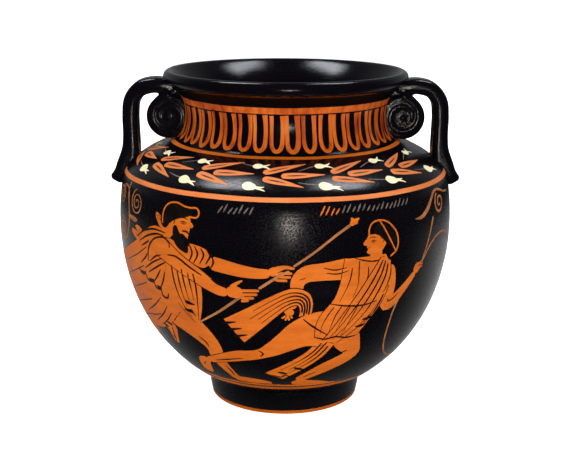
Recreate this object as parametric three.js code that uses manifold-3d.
// A red-figure krater: a wide-mouthed mixing bowl thrown in clay, with two upright strap handles
// that rise from the shoulder, turn in under the lip and end in a rolled volute beside the neck.
// Foot, bowl, neck, lip, handles and volutes are luted together before firing, so the krater is
// one solid, hollow down to its floor. Millimetres, +Z up. The origin is the centre of the foot's
// resting ring, and the handles stand on the X axis.
import * as THREE from "three";
import { mergeVertices } from "three/addons/utils/BufferGeometryUtils.js";
import Module from "manifold-3d";

const wasm = await Module();
wasm.setup();

// Driving dimensions.
const SPIN_SEGMENTS = 52;

const FOOT = {
  recessRadius: 37,
  recessDepth: 3,
  ringRadius: 44.4,
  sideRadius: 46.9,
  bevel: 1,
  height: 15,
};
const BOWL = { radius: 100, widestZ: 112, lowerReach: 110, upperReach: 127 };
const SHOULDER = { startZ: 136, cornerRadius: 18, cornerEnd: THREE.MathUtils.degToRad(52) };
const NECK = { baseRadius: 66.7, baseZ: 159.7, throatRadius: 59.6, topRadius: 62.3, topZ: 186.5 };
const LIP = { radius: 73.1, undersideRadius: 71.4, undersideZ: 193.6, widestZ: 197.4 };
const CREST = { radius: 70.2, z: 200.9 };
const INSIDE = { bowlRadius: 93.6, floorZ: 11, throatRadius: 54.2, upperReach: 118 };

const STRAP = { width: 17, edge: 2.6, outerX: 97.4, innerX: 88.2, topZ: 196, undersideZ: 186.8 };
const TOE = { tipX: 104.6, tipZ: 139.4, bottomX: 100.4, bottomZ: 133.4 };
const VOLUTE = { x: 69.6, z: 173.4, radius: 13.6, width: 18, edge: 1.2 };
const SCROLL = { turns: 1.6, outerRadius: 11.4, innerRadius: 5, ridge: 1.7, proud: 0.8, eye: 3.2 };

// The bowl's outer radius follows one ellipse below its widest ring and a taller one above it.
const bowlAngle = (z, reach) => Math.asin((z - BOWL.widestZ) / reach);

// One point every few degrees on an ellipse round the pot's axis, in (radius, height).
function ellipsePoints(radius, reach, from, to, count) {
  const curve = new THREE.EllipseCurve(0, BOWL.widestZ, radius, reach, from, to, to < from);
  return curve.getPoints(count);
}

const point = (radius, z) => new THREE.Vector2(radius, z);

function footOutline() {
  return [
    point(0, FOOT.recessDepth),
    point(FOOT.recessRadius - 1, FOOT.recessDepth),
    point(FOOT.recessRadius, 0),
    point(FOOT.ringRadius, 0),
    point(FOOT.ringRadius + FOOT.bevel, FOOT.bevel),
    point(FOOT.sideRadius, FOOT.height * 0.55),
    point(FOOT.sideRadius, FOOT.height - 1),
  ];
}

function bowlOutline() {
  const { radius, lowerReach, upperReach } = BOWL;
  const lower = ellipsePoints(radius, lowerReach, bowlAngle(FOOT.height, lowerReach), 0, 9);
  const end = bowlAngle(SHOULDER.startZ, upperReach);
  const upper = ellipsePoints(radius, upperReach, 0, end, 3);
  return [...lower, ...upper.slice(1)];
}

// A rounded corner that leaves the bowl along its slope, then a slightly bowed cone up to the neck.
function shoulderOutline() {
  const t = bowlAngle(SHOULDER.startZ, BOWL.upperReach);
  const start = point(BOWL.radius * Math.cos(t), SHOULDER.startZ);
  const lean = Math.atan2(BOWL.radius * Math.sin(t), BOWL.upperReach * Math.cos(t));
  const r = SHOULDER.cornerRadius;
  const centre = point(start.x - r * Math.cos(lean), start.y - r * Math.sin(lean));
  const corner = new THREE.EllipseCurve(centre.x, centre.y, r, r, lean, SHOULDER.cornerEnd);
  const top = corner.getPoint(1);
  const neck = point(NECK.baseRadius, NECK.baseZ);
  const along = point(-Math.sin(SHOULDER.cornerEnd), Math.cos(SHOULDER.cornerEnd));
  const middle = top.clone().addScaledVector(along, top.distanceTo(neck) / 2);
  const cone = new THREE.QuadraticBezierCurve(top, middle, neck);
  return [...corner.getPoints(4).slice(1), ...cone.getPoints(3).slice(1)];
}

// The neck hollows in above the shoulder, then flares under the overhanging lip.
function neckOutline() {
  const base = point(NECK.baseRadius, NECK.baseZ);
  const top = point(NECK.topRadius, NECK.topZ);
  const under = point(LIP.undersideRadius, LIP.undersideZ);
  const hollow = new THREE.CubicBezierCurve(
    base,
    point(NECK.throatRadius, NECK.baseZ + 5),
    point(NECK.throatRadius - 1.4, NECK.topZ - 8),
    top,
  );
  const flare = new THREE.QuadraticBezierCurve(top, point(NECK.topRadius + 2.4, NECK.topZ + 4.6), under);
  return [...hollow.getPoints(6).slice(1), ...flare.getPoints(3).slice(1)];
}

// The lip turns from its underside round its widest ring to the crest.
function lipOutline() {
  const round = new THREE.CubicBezierCurve(
    point(LIP.undersideRadius, LIP.undersideZ),
    point(LIP.radius + 0.5, LIP.widestZ - 2.2),
    point(LIP.radius + 0.3, LIP.widestZ + 2.8),
    point(CREST.radius, CREST.z),
  );
  return round.getPoints(4).slice(1);
}

// The inside: a trumpet mouth, the throat, the hollow under the shoulder, and the bowl's inner wall.
function insideOutline() {
  const { bowlRadius, floorZ, throatRadius, upperReach } = INSIDE;
  const wallTop = bowlAngle(SHOULDER.startZ - 3, upperReach);
  const wallTopPoint = point(bowlRadius * Math.cos(wallTop), SHOULDER.startZ - 3);
  const mouth = new THREE.SplineCurve([
    point(CREST.radius, CREST.z),
    point(CREST.radius - 3.2, CREST.z - 1.2),
    point(throatRadius + 5.2, NECK.topZ + 4),
    point(throatRadius + 0.5, NECK.topZ - 6),
    point(throatRadius + 0.6, NECK.baseZ + 7),
    point(throatRadius + 6.5, NECK.baseZ - 4.5),
    point(BOWL.radius - 23, NECK.baseZ - 10.5),
    point(BOWL.radius - 12, NECK.baseZ - 17.5),
    wallTopPoint,
  ]);
  const upper = ellipsePoints(bowlRadius, upperReach, wallTop, 0, 3);
  const lower = ellipsePoints(bowlRadius, BOWL.widestZ - floorZ, 0, -Math.PI / 2, 7);
  lower[lower.length - 1] = point(0, floorZ);
  return [...mouth.getPoints(12).slice(1), ...upper.slice(1), ...lower.slice(1)];
}

function thrownPot() {
  const outline = [
    ...footOutline(),
    ...bowlOutline(),
    ...shoulderOutline(),
    ...neckOutline(),
    ...lipOutline(),
    ...insideOutline(),
  ];
  return new THREE.LatheGeometry(outline, SPIN_SEGMENTS).rotateX(Math.PI / 2);
}

// The strap in side view, in (distance from the pot's axis, height): out from under the lip, round
// the bend, down, and splayed on to the shoulder with a toe that turns out.
function strapOutline() {
  const { outerX, innerX, topZ, undersideZ } = STRAP;
  const s = new THREE.Shape();
  s.moveTo(LIP.undersideRadius - 8, topZ - 1);
  s.lineTo(LIP.radius + 6, topZ);
  s.bezierCurveTo(outerX - 7, topZ + 0.6, outerX - 0.4, topZ - 7, outerX, topZ - 17);
  s.lineTo(outerX + 0.2, NECK.baseZ + 1);
  s.bezierCurveTo(outerX + 0.4, NECK.baseZ - 10, TOE.tipX - 2.4, TOE.tipZ + 6, TOE.tipX, TOE.tipZ);
  s.quadraticCurveTo(TOE.tipX + 0.6, TOE.bottomZ, TOE.bottomX, TOE.bottomZ);
  s.lineTo(BOWL.radius - 5.4, SHOULDER.startZ - 2);
  s.lineTo(BOWL.radius - 18, SHOULDER.startZ + 12);
  s.quadraticCurveTo(innerX - 0.2, NECK.baseZ - 6, innerX, NECK.baseZ + 2);
  s.lineTo(innerX, undersideZ - 9);
  s.bezierCurveTo(innerX, undersideZ - 3, innerX - 3.5, undersideZ, innerX - 8.4, undersideZ);
  s.lineTo(LIP.undersideRadius - 8, undersideZ - 1);
  return s;
}

// An outline in side view, given its width along Y with rounded long edges.
function acrossTheHandle(shape, width, edge, curveSegments, bevelSegments) {
  const settings = {
    depth: width - 2 * edge,
    bevelThickness: edge,
    bevelSize: edge,
    bevelOffset: -edge,
    bevelSegments,
    curveSegments,
  };
  return new THREE.ExtrudeGeometry(shape, settings)
    .translate(0, 0, edge - width / 2)
    .rotateX(Math.PI / 2);
}

function strap() {
  return acrossTheHandle(strapOutline(), STRAP.width, STRAP.edge, 4, 2);
}

function rolledVolute() {
  const disc = new THREE.Shape().absarc(VOLUTE.x, VOLUTE.z, VOLUTE.radius, 0, 2 * Math.PI);
  return acrossTheHandle(disc, VOLUTE.width, VOLUTE.edge, 10, 1);
}

// The scroll's ridge winds in from the volute's edge to its eye and shows on both faces.
function scrollRidge() {
  const steps = 18;
  const winding = (radiusShift) =>
    Array.from({ length: steps + 1 }, (_, i) => {
      const share = i / steps;
      const angle = Math.PI / 2 + share * SCROLL.turns * 2 * Math.PI;
      const radius = THREE.MathUtils.lerp(SCROLL.outerRadius, SCROLL.innerRadius, share) + radiusShift;
      return point(VOLUTE.x + radius * Math.cos(angle), VOLUTE.z + radius * Math.sin(angle));
    });
  const ridge = new THREE.Shape([
    ...winding(SCROLL.ridge / 2),
    ...winding(-SCROLL.ridge / 2).reverse(),
  ]);
  return acrossTheHandle(ridge, VOLUTE.width + 2 * SCROLL.proud, 0.3, 1, 1);
}

function scrollEye() {
  const eye = new THREE.Shape().absarc(VOLUTE.x, VOLUTE.z, SCROLL.eye, 0, 2 * Math.PI);
  return acrossTheHandle(eye, VOLUTE.width + 2 * SCROLL.proud, 0.6, 4, 1);
}

// A closed three.js geometry as a manifold-3d solid.
function solid(geometry) {
  const bare = new THREE.BufferGeometry().setAttribute("position", geometry.getAttribute("position"));
  if (geometry.index) bare.setIndex(geometry.index);
  const merged = mergeVertices(bare, 1e-4);
  const made = new wasm.Manifold(
    new wasm.Mesh({
      numProp: 3,
      vertProperties: merged.getAttribute("position").array,
      triVerts: new Uint32Array(merged.index.array),
    }),
  );
  if (made.volume() < 0) throw new Error("a piece is inside out");
  return made;
}

function geometryOf(manifold) {
  const mesh = manifold.getMesh();
  return new THREE.BufferGeometry()
    .setAttribute("position", new THREE.BufferAttribute(mesh.vertProperties, 3))
    .setIndex(new THREE.BufferAttribute(mesh.triVerts, 1));
}

// One handle on the +X side: the strap, its volute and the scroll's ridge and eye.
function handleSolid() {
  return [strap, rolledVolute, scrollRidge, scrollEye]
    .map((make) => solid(make()))
    .reduce((all, piece) => all.add(piece));
}

// The pot's own cavity, which no luted piece may reach into.
function mouthCavity() {
  const mouth = [point(0, NECK.baseZ - 12), ...insideOutline().reverse()];
  const opening = mouth.filter((p) => p.y > NECK.baseZ - 12);
  const outline = [point(0, NECK.baseZ - 12), ...opening, point(0, CREST.z)];
  return new THREE.LatheGeometry(outline, SPIN_SEGMENTS).rotateX(Math.PI / 2);
}

const handle = handleSolid();
const handles = handle.add(handle.rotate([0, 0, 180])).subtract(solid(mouthCavity()));
const krater = new THREE.Mesh(
  geometryOf(solid(thrownPot()).add(handles)),
  new THREE.MeshStandardMaterial({ color: 0x0d0c0e, roughness: 0.36, metalness: 0 }),
);
krater.name = "krater";

const object = new THREE.Group();
object.add(krater);

export default object;
